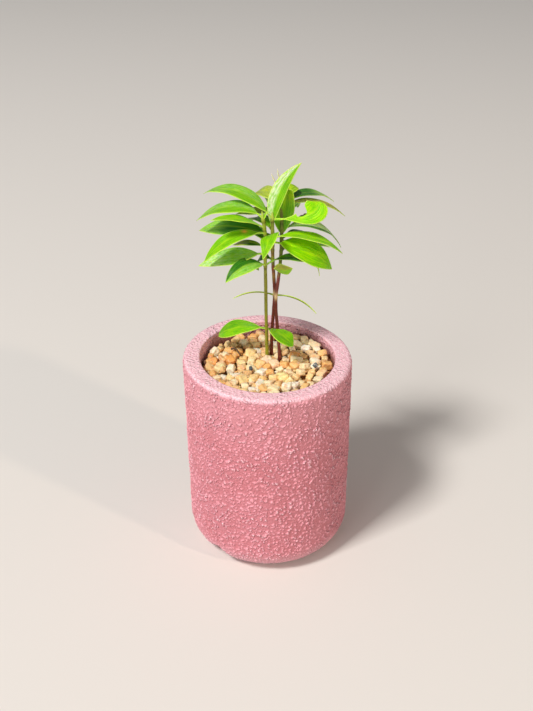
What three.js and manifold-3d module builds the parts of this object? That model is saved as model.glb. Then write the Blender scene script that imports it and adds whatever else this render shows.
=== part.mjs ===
// A podocarpus bonsai: three young seedlings in a round, grainy, pale pink pot
// that is filled with potting mix under a bed of yellow gravel.
// Millimetres, +Z up. The origin is under the middle of the pot, on the table.
// -Y is the side that faces the camera, and +X is to the camera's right.

import * as THREE from "three";
import { mergeVertices } from "three/addons/utils/BufferGeometryUtils.js";
import Module from "manifold-3d";

const wasm = await Module();
wasm.setup();

const RAD = Math.PI / 180;

// Pot
const POT_RADIUS = 40;
const POT_HEIGHT = 103;
const WALL = 8.25;
const POT_BORE = POT_RADIUS - WALL;
const POT_FLOOR = 12;
const FOOT_ROUNDING = 14;
const RIM_ROUNDING = 2.5;
const RIM_INNER_ROUNDING = 1;
const INNER_FOOT_ROUNDING = 6;
const DRAIN_RADIUS = 4;
const RIM_SLOPE = Math.tan(-1.5 * RAD);
const POT_SIDES = 48;
const INNER_FOOT_STEPS = 4;
const WALL_ROWS = 13;
const GRAIN = 0.3;

// Filling
const GAP = 0.3;
const SOIL_TOP = 92.7;
const BED_BOTTOM = SOIL_TOP + GAP;
const BED_TOP = 96;
const FILL_RADIUS = POT_BORE - GAP;
const STEM_HOLE_SIDES = 12;
const STEM_HOLE_GAP = 0.42;
const HOLE_BOTTOM = 66;

// Gravel stones
const STONE_RINGS = [3.4, 8.2, 13, 17.8, 22.6, 27.3];
const STONE_SPACING = 4.7;
const STONE_MIN = 1.9;
const STONE_MAX = 2.9;
const STONE_EDGE = FILL_RADIUS - 0.2;

// Stems
const STEM_RADIUS = 0.8;
const STEM_FOOT_RADIUS = 1;
const STEM_FOOT_HEIGHT = 14;
const STEM_SIDES = 8;
const STEM_STEPS = 22;
const STEM_BOTTOM = HOLE_BOTTOM + GAP;
const BUD_LENGTH = 3;

// Leaves
const BLADE_THICKNESS = 0.6;
const RIB_THICKNESS = 0.8;
const STALK_HALF_WIDTH = 0.5;
const TIP_HALF_WIDTH = 0.3;
const FOLD = 12 * RAD;
const LEAF_STEPS = 9;

// Colours
const POT_COLOUR = 0xdf9aa2;
const SOIL_COLOUR = 0x4a3a2c;
const GRAVEL_COLOUR = 0xe0b070;
const SEEDLING_COLOURS = { a: 0x9bd016, b: 0x9ad414, c: 0x84b81c };

// Each stem's way up, as [across, back, height], from the soil to its tip
const STEMS = {
  a: [[-0.2, 5, 66], [-0.2, 5, 98], [-0.4, 5, 113], [-0.6, 5, 138], [-0.7, 5, 150],
    [-0.6, 5, 162], [-1.6, 4.9, 170.5]],
  b: [[1.9, 7.2, 66], [1.9, 7.2, 98], [2.2, 7.1, 112], [3, 7, 123], [3.5, 6.8, 132],
    [3.1, 6.6, 141], [2.7, 6.5, 150], [2.7, 6.4, 160], [2.6, 6.4, 169.5]],
  c: [[5.8, 3, 66], [5.8, 3, 94], [5.7, 3.1, 100], [4.9, 5.1, 113], [4.1, 4.9, 125], [4.1, 3.9, 132],
    [5, 5.5, 138.5], [5.8, 7.8, 144], [6.4, 9, 150], [6.7, 9.6, 156], [6.8, 10.6, 162],
    [6.8, 12, 168], [6.5, 13.5, 175]],
};

// How the half width runs from the stalk to the tip: where the blade begins,
// where it is widest, and how full it is. bite is the nibbled stretch of one edge.
const OUTLINES = {
  lance: { stalk: 0.1, widest: 0.45, fullness: 0.9 },
  stalked: { stalk: 0.25, widest: 0.55, fullness: 0.9 },
  round: { stalk: 0.18, widest: 0.58, fullness: 0.62 },
  kite: { stalk: 0.1, widest: 0.36, fullness: 1 },
  blunt: { stalk: 0.1, widest: 0.8, fullness: 0.7, bite: [0.3, 0.62, 0.25] },
};

// One leaf: the height of its node on the stem, the way it points (0 is +X and
// 90 is +Y), its rise there, its length and width, and how far it droops along
// its length, rolls about its rib, and curves sideways, in degrees. Where late
// is under 1 it bends near the stem, and over 1 it bends near its tip.
const leaf = (height, compass, rise, length, width, droop, more = {}) => ({
  height, compass, rise, length, width, droop, roll: 0, curve: 0, late: 1, outline: "lance", ...more,
});

const LEAVES = {
  a: [
    leaf(147, -8, 46, 20.5, 7.5, 75, { outline: "stalked" }),
    leaf(147, 230, 42, 24.5, 9.5, 100, { roll: -20 }),
    leaf(153, 188, 4, 31, 10, 32, { roll: -25 }),
    leaf(158, 110, 25, 24, 8, 70),
    leaf(163, 203, 18, 33, 8.5, 84, { roll: -15 }),
    leaf(165.5, 200, 38, 26, 8.5, 42),
    leaf(169.5, 175, 62, 36, 12, 108, { roll: -15, late: 0.5 }),
    leaf(169.5, -40, 65, 4.5, 2, 10, { roll: 60 }),
  ],
  b: [
    leaf(112.5, 180, 16, 30, 9.5, 72, { roll: -30, outline: "round" }),
    leaf(112.5, -92, 40, 18, 9, 80, { roll: 10, curve: 85, outline: "round" }),
    leaf(131, 174, 20, 20, 2.5, 50, { roll: 40 }),
    leaf(131, 5, 0, 22, 2.5, 55, { roll: -40 }),
    leaf(145, -52, 5, 11, 7.5, -40, { roll: -60 }),
    leaf(149, 172, 45, 17, 7, 150, { roll: -30, late: 0.6 }),
    leaf(154, 154, 18, 21, 7, 45, { outline: "stalked" }),
    leaf(156, 95, 15, 28, 9, 70),
    leaf(161, 268, 45, 19, 9, 112, { roll: 20, curve: -78, outline: "kite" }),
    leaf(158, -12, -2, 34, 13, 70, { roll: 34 }),
    leaf(160, -1, 17, 34, 9.5, 62),
    leaf(161, 161, 14, 41, 12, 50, { roll: -26 }),
    leaf(162.5, 150, 82, 36.5, 7, 0, { roll: -70, curve: -57 }),
    leaf(163, 118, 30, 26, 8, 85),
    leaf(169, 157, 52, 40, 10.5, 89, { roll: -10 }),
    leaf(169, -4, 2, 24, 11.5, 0, { roll: 62, curve: 80, late: 3, outline: "blunt" }),
  ],
  c: [
    leaf(152, 60, 10, 24, 8, 60),
    leaf(155, 0, 2, 26, 6, 88),
    leaf(157, 15, -5, 24, 7, 20),
    leaf(161.5, 12, 41, 37, 9, 106, { roll: 10, late: 0.6 }),
    leaf(157, 80, 78, 30, 10.5, -85, { curve: -50, late: 3 }),
    leaf(158, 42, 12, 26, 8, 65),
    leaf(166, 70, 35, 26, 8, 85),
    leaf(169, 105, 40, 27, 8, 100),
    leaf(170, 170, 2, 21, 9, 18),
    leaf(171, 5, 50, 32, 6, 95, { late: 0.6 }),
    leaf(172, 25, 60, 30, 9, 104, { late: 0.6 }),
    leaf(173, 150, 50, 21, 9, 112, { roll: -20 }),
    leaf(175, 170, 75, 13, 1.4, 10),
    leaf(175, 20, 80, 14, 1.4, 10),
  ],
};

// Repeatable random numbers from 0 to 1
function randomSource(seed) {
  let state = seed;
  return () => {
    state = (Math.imul(state, 1664525) + 1013904223) >>> 0;
    return state / 4294967296;
  };
}

// Turn a closed three.js geometry into a solid
function toSolid(geometry) {
  const bare = geometry.index ? geometry.clone() : geometry;
  bare.deleteAttribute("normal");
  bare.deleteAttribute("uv");
  const merged = mergeVertices(bare, 1e-4);
  return new wasm.Manifold(new wasm.Mesh({
    numProp: 3,
    vertProperties: new Float32Array(merged.attributes.position.array),
    triVerts: new Uint32Array(merged.index.array),
  }));
}

// Turn a solid back into a named mesh
function toMesh(name, solid, colour, roughness) {
  const data = solid.getMesh();
  const geometry = new THREE.BufferGeometry();
  geometry.setAttribute("position", new THREE.BufferAttribute(data.vertProperties, 3));
  geometry.setIndex(new THREE.BufferAttribute(data.triVerts, 1));
  geometry.computeVertexNormals();
  const material = new THREE.MeshStandardMaterial({ color: colour, roughness, metalness: 0 });
  const mesh = new THREE.Mesh(geometry, material);
  mesh.name = name;
  return mesh;
}

// A closed skin over rings of points, with flat ends
function skin(rings) {
  const size = rings[0].length;
  const positions = rings.flat().flatMap((point) => [point.x, point.y, point.z]);
  const faces = [];
  for (let i = 0; i + 1 < rings.length; i += 1) {
    for (let j = 0; j < size; j += 1) {
      const k = (j + 1) % size;
      const [a, b, c, d] = [i * size + j, i * size + k, (i + 1) * size + k, (i + 1) * size + j];
      faces.push(a, b, c, a, c, d);
    }
  }
  const last = (rings.length - 1) * size;
  for (let j = 1; j + 1 < size; j += 1) {
    faces.push(0, j + 1, j);
    faces.push(last, last + j, last + j + 1);
  }
  const geometry = new THREE.BufferGeometry();
  geometry.setAttribute("position", new THREE.Float32BufferAttribute(positions, 3));
  geometry.setIndex(faces);
  return geometry;
}

// An upright cylinder from one height to another
function post(x, y, radius, bottom, top, sides) {
  const geometry = new THREE.CylinderGeometry(radius, radius, top - bottom, sides);
  geometry.rotateX(Math.PI / 2);
  geometry.translate(x, y, (bottom + top) / 2);
  return geometry;
}

// Points along an arc, from one angle to another in degrees
function arc(across, height, radius, from, to, steps) {
  return Array.from({ length: steps + 1 }, (unused, i) => {
    const angle = (from + ((to - from) * i) / steps) * RAD;
    return new THREE.Vector2(across + radius * Math.cos(angle), height + radius * Math.sin(angle));
  });
}

// The pot's outline from the drain hole, round the outside and back down the bore
function potProfile() {
  const wallTop = POT_HEIGHT - RIM_ROUNDING;
  const wallRow = (wallTop - FOOT_ROUNDING) / WALL_ROWS;
  const wall = Array.from({ length: WALL_ROWS - 1 }, (unused, i) => (
    new THREE.Vector2(POT_RADIUS, FOOT_ROUNDING + wallRow * (i + 1))
  ));
  const lip = POT_HEIGHT - RIM_INNER_ROUNDING;
  const start = new THREE.Vector2(DRAIN_RADIUS, POT_FLOOR);
  return [
    start,
    new THREE.Vector2(DRAIN_RADIUS, 0),
    ...arc(POT_RADIUS - FOOT_ROUNDING, FOOT_ROUNDING, FOOT_ROUNDING, -90, 0, 5),
    ...wall,
    ...arc(POT_RADIUS - RIM_ROUNDING, wallTop, RIM_ROUNDING, 0, 90, 3),
    ...arc(POT_BORE + RIM_INNER_ROUNDING, lip, RIM_INNER_ROUNDING, 90, 180, 2),
    ...innerFoot(POT_BORE, POT_FLOOR),
    start.clone(),
  ];
}

// The rounding between the bore and the floor, which the filling follows
function innerFoot(bore, floor) {
  const radius = INNER_FOOT_ROUNDING;
  return arc(bore - radius, floor + radius, radius, 0, -90, INNER_FOOT_STEPS);
}

// The pot, with its grainy outer wall and its rim a little lower on one side
function buildPot() {
  const lathe = new THREE.LatheGeometry(potProfile(), POT_SIDES);
  lathe.rotateX(Math.PI / 2);
  lathe.deleteAttribute("normal");
  lathe.deleteAttribute("uv");
  const geometry = mergeVertices(lathe, 1e-3);
  const random = randomSource(11);
  const position = geometry.attributes.position;
  for (let i = 0; i < position.count; i += 1) {
    const point = new THREE.Vector3().fromBufferAttribute(position, i);
    const radius = Math.hypot(point.x, point.y);
    const grainy = radius > POT_RADIUS - 0.01 && point.z > FOOT_ROUNDING;
    const push = grainy ? (random() * 2 - 1) * GRAIN : 0;
    const scale = (radius + push) / radius;
    const lift = (point.x * RIM_SLOPE * point.z) / POT_HEIGHT;
    position.setXYZ(i, point.x * scale, point.y * scale, point.z + lift);
  }
  return toSolid(geometry);
}

// Plain holes for the stems, through the whole filling
function stemHoles() {
  const holes = Object.values(STEMS).map(([, [x, y]]) => {
    const radius = STEM_FOOT_RADIUS + STEM_HOLE_GAP;
    return toSolid(post(x, y, radius, HOLE_BOTTOM, POT_HEIGHT + 10, STEM_HOLE_SIDES));
  });
  return holes.reduce((all, hole) => all.add(hole));
}

// The potting mix, which follows the bore down to the pot's floor
function buildSoil(holes) {
  const outline = [
    new THREE.Vector2(0, POT_FLOOR + GAP),
    ...innerFoot(FILL_RADIUS, POT_FLOOR + GAP).reverse(),
    new THREE.Vector2(FILL_RADIUS, SOIL_TOP),
    new THREE.Vector2(0, SOIL_TOP),
  ];
  const geometry = new THREE.LatheGeometry(outline, POT_SIDES);
  geometry.rotateX(Math.PI / 2);
  return toSolid(geometry).subtract(holes);
}

// One angular stone: a block with each corner drawn in by its own amount
function stone(x, y, radius, random) {
  const block = new THREE.BoxGeometry(1, 1, 1);
  block.deleteAttribute("normal");
  block.deleteAttribute("uv");
  const geometry = mergeVertices(block);
  const corners = geometry.attributes.position;
  for (let i = 0; i < corners.count; i += 1) {
    const corner = new THREE.Vector3().fromBufferAttribute(corners, i);
    corner.setLength(radius * (0.75 + random() * 0.4));
    corners.setXYZ(i, corner.x, corner.y, corner.z);
  }
  geometry.scale(1.1 + random() * 0.3, 0.85 + random() * 0.3, 0.75 + random() * 0.25);
  geometry.rotateX((random() - 0.5) * 0.9);
  geometry.rotateY((random() - 0.5) * 0.9);
  geometry.rotateZ(random() * 6);
  geometry.translate(x, y, BED_TOP + radius * (random() * 0.4 - 0.1));
  return geometry;
}

// The gravel: rings of stones, sunk into one bed
function buildGravel(holes) {
  const random = randomSource(29);
  let bed = toSolid(post(0, 0, FILL_RADIUS, BED_BOTTOM, BED_TOP, POT_SIDES));
  for (const ring of STONE_RINGS) {
    const count = Math.round((2 * Math.PI * ring) / STONE_SPACING);
    for (let i = 0; i < count; i += 1) {
      const angle = ((i + random() * 0.5) / count) * 2 * Math.PI + ring;
      const reach = ring + (random() - 0.5) * 1.6;
      const radius = STONE_MIN + (STONE_MAX - STONE_MIN) * random();
      bed = bed.add(toSolid(stone(reach * Math.cos(angle), reach * Math.sin(angle), radius, random)));
    }
  }
  const inside = toSolid(post(0, 0, STONE_EDGE, BED_BOTTOM, POT_HEIGHT, POT_SIDES));
  return bed.intersect(inside).subtract(holes);
}

// A stem's curve
function stemCurve(name) {
  const points = STEMS[name].map(([x, y, z]) => new THREE.Vector3(x, y, z));
  points[0].z = STEM_BOTTOM;
  return new THREE.CatmullRomCurve3(points);
}

// The point of a stem at one height
function stemPoint(name, height) {
  const points = STEMS[name];
  const next = points.findIndex(([, , z]) => z >= height);
  const index = next < 0 ? points.length - 1 : Math.max(next, 1);
  const [low, high] = [points[index - 1], points[index]];
  const share = (height - low[2]) / (high[2] - low[2]);
  return new THREE.Vector3(
    low[0] + (high[0] - low[0]) * share,
    low[1] + (high[1] - low[1]) * share,
    height,
  );
}

// The stem itself, thicker at its foot, with a pointed bud on its tip
function stemSolid(name) {
  const curve = stemCurve(name);
  const rings = [];
  for (let i = 0; i <= STEM_STEPS; i += 1) {
    const centre = curve.getPointAt(i / STEM_STEPS);
    const above = Math.max(centre.z - BED_TOP, 0);
    const flare = Math.max(1 - above / STEM_FOOT_HEIGHT, 0) ** 2;
    const radius = STEM_RADIUS + (STEM_FOOT_RADIUS - STEM_RADIUS) * flare;
    rings.push(ringAround(centre, radius));
  }
  const tip = curve.getPointAt(1);
  const heading = curve.getTangentAt(1);
  rings.push(ringAround(tip.clone().addScaledVector(heading, BUD_LENGTH * 0.4), STEM_RADIUS * 0.9));
  rings.push(ringAround(tip.clone().addScaledVector(heading, BUD_LENGTH), 0.2));
  return toSolid(skin(rings));
}

// A level ring of points
function ringAround(centre, radius) {
  return Array.from({ length: STEM_SIDES }, (unused, i) => {
    const angle = (i / STEM_SIDES) * 2 * Math.PI;
    return new THREE.Vector3(
      centre.x + radius * Math.cos(angle),
      centre.y + radius * Math.sin(angle),
      centre.z,
    );
  });
}

// Half the blade's width at t, from 0 at the stem to 1 at the tip
function halfWidth(outline, t, width) {
  const { stalk, widest, fullness } = outline;
  const along = Math.min(Math.max((t - stalk) / (1 - stalk), 0), 1);
  const bend = Math.log(0.5) / Math.log(widest);
  const share = Math.max(Math.sin(Math.PI * along ** bend), 0) ** fullness;
  const least = t < 0.5 ? STALK_HALF_WIDTH : TIP_HALF_WIDTH;
  return Math.max((share * width) / 2, least);
}

// Walk along a leaf's rib and raise a folded blade on it
function leafSolid(stemName, spec) {
  const outline = OUTLINES[spec.outline];
  const compass = spec.compass * RAD;
  const rise = spec.rise * RAD;
  const ahead = new THREE.Vector3(
    Math.cos(compass) * Math.cos(rise),
    Math.sin(compass) * Math.cos(rise),
    Math.sin(rise),
  );
  const side = new THREE.Vector3(-Math.sin(compass), Math.cos(compass), 0);
  const up = new THREE.Vector3().crossVectors(ahead, side);
  side.applyAxisAngle(ahead, spec.roll * RAD);
  up.applyAxisAngle(ahead, spec.roll * RAD);
  const centre = stemPoint(stemName, spec.height);
  const rings = [];
  let bent = 0;
  for (let i = 0; i <= LEAF_STEPS; i += 1) {
    const t = i / LEAF_STEPS;
    const bend = t ** spec.late;
    const part = (bend - bent) / 2;
    bent = bend;
    const turn = () => {
      ahead.applyAxisAngle(side, spec.droop * RAD * part);
      up.applyAxisAngle(side, spec.droop * RAD * part);
      ahead.applyAxisAngle(up, spec.curve * RAD * part);
      side.applyAxisAngle(up, spec.curve * RAD * part);
    };
    if (i > 0) {
      turn();
      centre.addScaledVector(ahead, spec.length / LEAF_STEPS);
      turn();
    }
    rings.push(bladeRing(centre, side, up, outline, t, spec.width));
  }
  return toSolid(skin(rings));
}

// One cut through a blade: its two raised edges and its thicker rib
function bladeRing(centre, side, up, outline, t, width) {
  const half = halfWidth(outline, t, width);
  const [from, to, left] = outline.bite ?? [1, 1, 1];
  const leftHalf = t > from && t < to ? half * left : half;
  const at = (across, height) => centre.clone()
    .addScaledVector(side, across * Math.cos(FOLD))
    .addScaledVector(up, Math.abs(across) * Math.sin(FOLD) + height);
  return [
    at(leftHalf, BLADE_THICKNESS / 2),
    at(0, RIB_THICKNESS / 2),
    at(-half, BLADE_THICKNESS / 2),
    at(-half, -BLADE_THICKNESS / 2),
    at(0, -RIB_THICKNESS / 2),
    at(leftHalf, -BLADE_THICKNESS / 2),
  ];
}

// One seedling: its stem with every leaf's stalk sunk into it
function buildSeedling(name) {
  const leaves = LEAVES[name].map((spec) => leafSolid(name, spec));
  return leaves.reduce((plant, next) => plant.add(next), stemSolid(name));
}

const holes = stemHoles();
const group = new THREE.Group();
group.add(toMesh("pot", buildPot(), POT_COLOUR, 0.95));
group.add(toMesh("soil", buildSoil(holes), SOIL_COLOUR, 1));
group.add(toMesh("gravel", buildGravel(holes), GRAVEL_COLOUR, 0.85));
for (const name of Object.keys(STEMS)) {
  group.add(toMesh(`seedling_${name}`, buildSeedling(name), SEEDLING_COLOURS[name], 0.4));
}

export default group;
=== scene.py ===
"""A podocarpus bonsai: three young seedlings in a round, grainy, pale pink pot of gravel.

Metres, +Z up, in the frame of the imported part: the origin is under the middle of
the pot, -Y is the side that faces the camera and +X is to the camera's right.
"""

from math import cos, exp, hypot, log, pi, radians, sin, sqrt, tan

import bpy
import numpy as np
from mathutils import Matrix, Vector, noise


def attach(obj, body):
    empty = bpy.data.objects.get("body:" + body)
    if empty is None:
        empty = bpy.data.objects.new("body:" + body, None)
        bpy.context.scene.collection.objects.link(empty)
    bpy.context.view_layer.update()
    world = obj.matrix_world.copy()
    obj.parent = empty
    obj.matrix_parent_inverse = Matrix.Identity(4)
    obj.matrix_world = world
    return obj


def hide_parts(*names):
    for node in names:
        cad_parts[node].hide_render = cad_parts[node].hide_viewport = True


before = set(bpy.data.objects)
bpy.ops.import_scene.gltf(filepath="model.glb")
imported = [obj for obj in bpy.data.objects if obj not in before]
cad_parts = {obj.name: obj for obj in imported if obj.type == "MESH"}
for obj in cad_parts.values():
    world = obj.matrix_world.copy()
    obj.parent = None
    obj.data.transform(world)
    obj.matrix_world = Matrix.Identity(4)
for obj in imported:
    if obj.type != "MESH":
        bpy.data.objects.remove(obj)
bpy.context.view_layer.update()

MM = 0.001

# Pot
POT_RADIUS = 40 * MM
POT_HEIGHT = 103 * MM
POT_BORE = 31.75 * MM
POT_FLOOR = 12 * MM
FOOT_ROUNDING = 14 * MM
RIM_ROUNDING = 2.5 * MM
RIM_INNER_ROUNDING = 1 * MM
INNER_FOOT_ROUNDING = 6 * MM
FOOT_EDGE = POT_RADIUS - FOOT_ROUNDING
DRAIN_RADIUS = 4 * MM
RIM_SLOPE = tan(radians(-1.5))
POT_SIDES = 720
BAND_TOPS = [24 * MM, 61 * MM]
PALE_BAND = (70 * MM, 101 * MM)

# How finely the pot's profile is divided
WALL_ROW = 0.35 * MM
UNDERSIDE_ROWS = 9
RIM_EDGE_ROWS = 9
RIM_TOP_ROWS = 11
LIP_ROWS = 5
BORE_ROWS = 20
INSIDE_ROWS = 8
INNER_FOOT_ROWS = 4
A_HAIR = 0.001 * MM

# The pot's sandy coat
GRAIN_SIZE = 1.6 * MM
GRAIN_WANDER = 2.2 * MM
GRAIN_GATHER = 9 * MM
GRAIN_LUMP = 0.9 * MM
GRAIN_SEED = 3
COAT_SINK = 0.42 * MM
COAT_DEPTH = 0.6 * MM
COAT_LOW_BELOW = 3 * MM
COAT_FULL_ABOVE = 16 * MM
COAT_LEAST = 0.5
COAT_FADES_FROM = 0.8 * RIM_ROUNDING
COAT_FADES_TO = 0.02 * RIM_ROUNDING
BORE_COAT = 0.5
RIM_COAT = 0.1
DENT_COMPASS = radians(-133)
DENT_HALF_WIDTH = radians(6)
DENT_TOP = 12 * MM
DENT_DEPTH = 2.4 * MM
# Painted shade in the bore: darkest near the gravel, and most towards this compass side
BORE_SHADE_COMPASS = radians(35)
BORE_SHADE_MARGIN = 1 * MM
BORE_SHADE_EVENLY = 0.6
BORE_SHADE_MORE = 0.4

# Gravel
BED_BOTTOM = 93 * MM
BED_TOP = 96 * MM
BED_SINK = 1 * MM
FILL_RADIUS = POT_BORE - 0.3 * MM
STONE_EDGE = FILL_RADIUS - 0.2 * MM
STONE_RINGS = [3.4, 8.2, 13, 17.8, 22.6, 27.3]
STONE_SPACING = 4.7
STONE_MIN = 1.9
STONE_MAX = 2.9
STONE_SEED = 29
CHIP_SEED = 7
SKIN_SEED = 91
STONE_GRID = 8
CHIP_GRID = 4
CHIPPED_SIDES = 5
SKIN_ROUGHNESS = 0.16
CHIP_SPACING = 4 * MM
CHIP_MIN = 0.9 * MM
CHIP_MAX = 1.6 * MM
EDGE_SHARPNESS = 20
STEM_GAP = 1.38 * MM
STONE_LIFT = 1.6 * MM
CHIP_LIFT = 0.7 * MM
BED_ROWS = 24
BED_SIDES = 96
BED_LUMP = 2 * MM
BED_LUMP_HEIGHT = 0.5 * MM
TWIG_RADIUS = 0.55 * MM
TWIG_STEPS = 8
TWIG_SIDES = 10

# The twig's way over the gravel in millimetres, as (across, back, height)
TWIG = [(-17.3, 9.7, 100.4), (-15.7, 8.4, 101.4), (-14.2, 6.2, 101.3), (-13, 4.2, 100.1)]

# In millimetres: dark chips, as (across, back), with their radius and height over the bed
DARK_CHIPS = [(-7.9, -7), (22.3, -5)]
DARK_CHIP_RADIUS = 1.2
DARK_CHIP_LIFT = 4

# Stones that stand out, as (across, back, radius, colour), with their height over it
BIG_STONE_LIFT = 2.2
BIG_STONES = [
    (-0.8, 1.7, 2.8, (250, 226, 194)),
    (3, -1.4, 3.4, (250, 214, 176)),
    (12.6, 5.5, 3.1, (226, 160, 84)),
    (-3.6, -19.5, 3, (252, 244, 222)),
    (6.6, -13, 3.2, (250, 228, 156)),
    (-26, 2.2, 3, (240, 172, 96)),
    (-22.6, -4.2, 2.8, (250, 232, 176)),
    (8.5, -20.5, 2.8, (252, 240, 214)),
    (-18.2, 3.2, 2.9, (236, 166, 88)),
]
STONE_COLOURS = [
    (250, 228, 180), (246, 212, 148), (242, 198, 130), (250, 236, 206), (238, 184, 112),
    (248, 220, 160), (248, 238, 218), (242, 206, 156), (238, 196, 136), (250, 230, 188),
]
DARK_STONE = (74, 84, 92)

# Stems
STEM_RADIUS = 0.8 * MM
STEM_FOOT_RADIUS = 1 * MM
STEM_FOOT_HEIGHT = 14 * MM
STEM_BOTTOM = 66.3
STEM_SIDES = 16
STEM_STEPS = 24
BUD_LENGTH = 3 * MM
BUD_ROWS = (0.15, 0.3, 0.45, 0.6, 0.75, 0.9, 1)
NODE_LENGTH = 0.9 * MM
NODE_SWELLING = 0.16
JOINT_DROP = 1.3 * MM
JOINT_LENGTH = 0.5 * MM
KNOT_HEIGHT = 132 * MM
KNOT_LENGTH = 1.6 * MM
KNOTTED_STEMS = ("b", "c")

# Leaves
LEAF_STEPS = 9
ROWS_PER_STEP = 7
ACROSS = 17
FOLD = radians(12)
STALK_HALF_WIDTH = 0.5 * MM
STALK_THICKNESS = 0.85 * MM
BLADE_THICKNESS = 0.34 * MM
RIB_RAISE = 0.2 * MM
RIB_HALF_WIDTH = 0.5 * MM
MARGIN_DROP = 0.1
RIPPLE = 0.035
RIPPLES = 2.3
RIPPLE_SHIFT = 1.7
NIBBLE = 0.1
SPOT_LENGTH = 0.035
SPOT_WIDTH = 0.35
SPOT_ACROSS = -0.5

# Camera
IMAGE_WIDTH = 533
IMAGE_HEIGHT = 711
FOCAL_PIXELS = 950
SENSOR = 36
CAMERA_PLACE = Vector((-0.5, -381.3, 337.1)) * MM
CAMERA_DOWN = radians(31.6)
CAMERA_ROLL = radians(-0.5)

# Floor, sky, and lights with their place, size, power and tint
FLOOR_CORNERS = [(-4, -3, 0), (4, -3, 0), (4, 6, 0), (-4, 6, 0)]
SKY_COLOUR = (0.95, 0.96, 1, 1)
SKY_STRENGTH = 0.24
LIGHT_AIM = (0, 0, 0.1)
LIGHTS = {
    "key": ((-1.45, -1.2, 2.75), 0.6, 92, (1, 0.97, 0.94)),
    "fill": ((-1.6, -2.1, 0.9), 1.2, 22, (1, 0.98, 0.97)),
    "lamp": ((1.1, -0.8, 0.7), 0.08, 5, (1, 0.8, 0.62)),
}

# Each stem's way up in millimetres, as (across, back, height)
STEMS = {
    "a": [(-0.2, 5, 66), (-0.2, 5, 98), (-0.4, 5, 113), (-0.6, 5, 138), (-0.7, 5, 150),
          (-0.6, 5, 162), (-1.6, 4.9, 170.5)],
    "b": [(1.9, 7.2, 66), (1.9, 7.2, 98), (2.2, 7.1, 112), (3, 7, 123), (3.5, 6.8, 132),
          (3.1, 6.6, 141), (2.7, 6.5, 150), (2.7, 6.4, 160), (2.6, 6.4, 169.5)],
    "c": [(5.8, 3, 66), (5.8, 3, 94), (5.7, 3.1, 100), (4.9, 5.1, 113), (4.1, 4.9, 125),
          (4.1, 3.9, 132), (5, 5.5, 138.5), (5.8, 7.8, 144), (6.4, 9, 150), (6.7, 9.6, 156),
          (6.8, 10.6, 162), (6.8, 12, 168), (6.5, 13.5, 175)],
}

# How the half width runs from the stalk to the tip: where the blade begins, where
# it is widest, and how full it is. bite is where one edge is nibbled, and what is left.
OUTLINES = {
    "lance": {"stalk": 0.1, "widest": 0.45, "fullness": 0.9},
    "stalked": {"stalk": 0.25, "widest": 0.55, "fullness": 0.9},
    "round": {"stalk": 0.18, "widest": 0.58, "fullness": 0.62},
    "kite": {"stalk": 0.1, "widest": 0.36, "fullness": 1},
    "blunt": {"stalk": 0.1, "widest": 0.8, "fullness": 0.55, "bite": (0.46, 0.68, 0.25)},
}

# A half blade's tone: how dark its green, partly its own deep green and partly painted shade, how much
# painted sheen whitens it, and how yellowed it is
FRESH = (0, 0, 0)
MILD = (0.3, 0, 0)
YOUNG = (0, 0, 0.3)
PAINTED_SHEEN = (0, 0.9, 0)
HALF_SHEEN = (0.1, 0.5, 0)
SHEEN = (0, 0.6, 0.15)
SOFT_SHEEN = (0.3, 0.16, 0)
COOL_SHEEN = (0.28, 0.12, 0)
SHADED = (0.5, 0, 0)
DEEP_AND_SHADED = (0.9, 0, 0)
OLIVE = (0.3, 0, 0.55)
TAN = (0.05, 0.1, 0.7)
GOLDEN = (0.05, 0.1, 0.52)
YELLOWED = (0, 0, 0.8)


def leaf(height, compass, rise, length, width, droop, roll=0, curve=0, late=1,
         outline="lance", both=MILD, left=None, right=None, split=0, tip=None, spot=0, dry=0):
    """One leaf, in millimetres and degrees.

    height is its node's on the stem, and compass the way it points, where 0 is +X
    and 90 is +Y. It droops along its length, rolls about its rib and curves
    sideways. Where late is under 1 it bends near the stem, and over 1 near its tip.
    Its halves' tones, both or left and right, meet at split, and tip is its end's.
    spot is how far along it a rust spot lies. A dry leaf has turned to straw.
    """
    return {
        "height": height, "compass": radians(compass), "rise": radians(rise),
        "length": length * MM, "width": width * MM, "droop": radians(droop),
        "roll": radians(roll), "curve": radians(curve), "late": late,
        "outline": OUTLINES[outline], "left": left or both, "right": right or both,
        "split": split, "tip": tip, "spot": spot, "dry": dry,
    }


# Darker halves, leaves and tips are partly painted shade, and whitish ones are painted sheen.
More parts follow.
